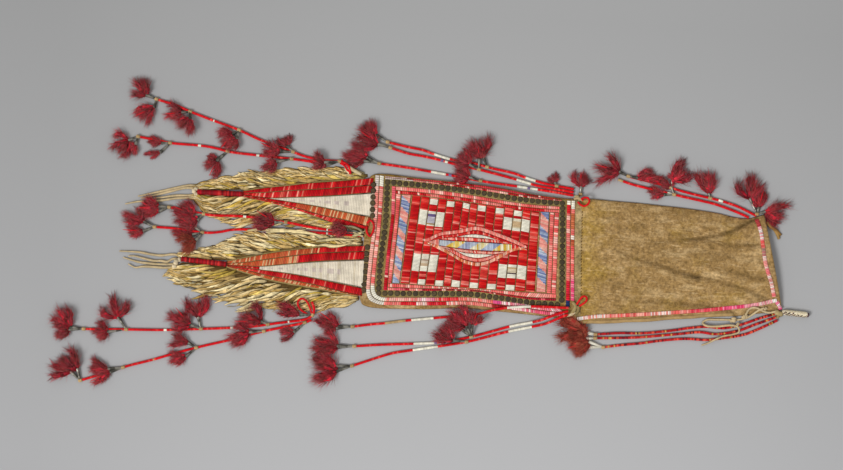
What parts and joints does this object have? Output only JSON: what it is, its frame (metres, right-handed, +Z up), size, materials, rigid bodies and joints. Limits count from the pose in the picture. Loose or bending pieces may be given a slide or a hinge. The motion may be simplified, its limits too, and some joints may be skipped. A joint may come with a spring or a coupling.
{
  "type": "tobacco bag",
  "caption": "Long soft hide tobacco bag lying flat, with a quilled geometric panel, fringed triangular tabs at its lower end, and thong pendants with metal cones and red tufts.",
  "frame": {"origin": "on the ground under the middle of the quilled panel", "axes": "+X along the bag to its mouth, +Y across the bag to its upper side edge, +Z up from the ground"},
  "size_m": [0.8686, 0.356, 0.0134],
  "materials": {
    "smoked_hide": "matt smoked suede, mottled khaki",
    "fringe_hide": "matt straw-coloured hide",
    "red_quill": "soft sheen of dyed porcupine quill",
    "pink_quill": "soft sheen of dyed porcupine quill",
    "striped_quill": "soft sheen of dyed porcupine quill",
    "cream_quill": "soft sheen of undyed porcupine quill",
    "dark_brass": "dull aged brass",
    "dyed_hair": "matt dyed hair with metal cones"
  },
  "bodies": {
    "root": {"bag_hide": "smoked_hide", "inner_quill_border": "pink_quill", "lower_corner_pendant_1": "red_quill", "lower_corner_pendant_2": "red_quill", "lower_corner_pendant_3": "red_quill", "lower_corner_tassel_1": "dyed_hair", "lower_corner_tassel_2": "dyed_hair", "lower_corner_tassel_3": "dyed_hair", "lower_inner_fringe": "fringe_hide", "lower_outer_fringe": "fringe_hide", "lower_tab_hide": "fringe_hide", "lower_tab_pendant_1": "red_quill", "lower_tab_pendant_2": "red_quill", "lower_tab_quillwork": "red_quill", "lower_tab_tassel_1": "dyed_hair", "lower_tab_tassel_2": "dyed_hair", "lower_tab_tip_wrap": "red_quill", "lower_tip_thongs": "fringe_hide", "middle_pendant_1": "red_quill", "middle_pendant_2": "red_quill", "middle_tassel_1": "dyed_hair", "middle_tassel_2": "dyed_hair", "mouth_corner_tassel": "dyed_hair", "mouth_end_striped_band": "striped_quill", "mouth_lower_pendant_1": "red_quill", "mouth_lower_pendant_2": "red_quill", "mouth_lower_pendant_3": "red_quill", "mouth_lower_tassel_1": "dyed_hair", "mouth_lower_tassel_2": "dyed_hair", "mouth_lower_tassel_3": "dyed_hair", "mouth_quill_edge": "pink_quill", "mouth_tie_thong": "fringe_hide", "mouth_toggle": "cream_quill", "mouth_upper_pendant_1": "red_quill", "mouth_upper_pendant_2": "red_quill", "mouth_upper_tassel_1": "dyed_hair", "outer_quill_border": "red_quill", "quill_field": "red_quill", "quill_lozenge": "pink_quill", "sequin_border": "dark_brass", "side_quill_edge": "pink_quill", "tab_end_striped_band": "striped_quill", "tab_sequin_row": "dark_brass", "upper_corner_pendant_1": "red_quill", "upper_corner_pendant_2": "red_quill", "upper_corner_pendant_3": "red_quill", "upper_corner_tassel": "dyed_hair", "upper_corner_tassel_1": "dyed_hair", "upper_corner_tassel_2": "dyed_hair", "upper_corner_tassel_3": "dyed_hair", "upper_inner_fringe": "fringe_hide", "upper_outer_fringe": "fringe_hide", "upper_tab_hide": "fringe_hide", "upper_tab_pendant_1": "red_quill", "upper_tab_pendant_2": "red_quill", "upper_tab_quillwork": "red_quill", "upper_tab_tassel_1": "dyed_hair", "upper_tab_tassel_2": "dyed_hair", "upper_tab_tip_wrap": "red_quill", "upper_tip_thongs": "fringe_hide"}
  },
  "joints": []
}
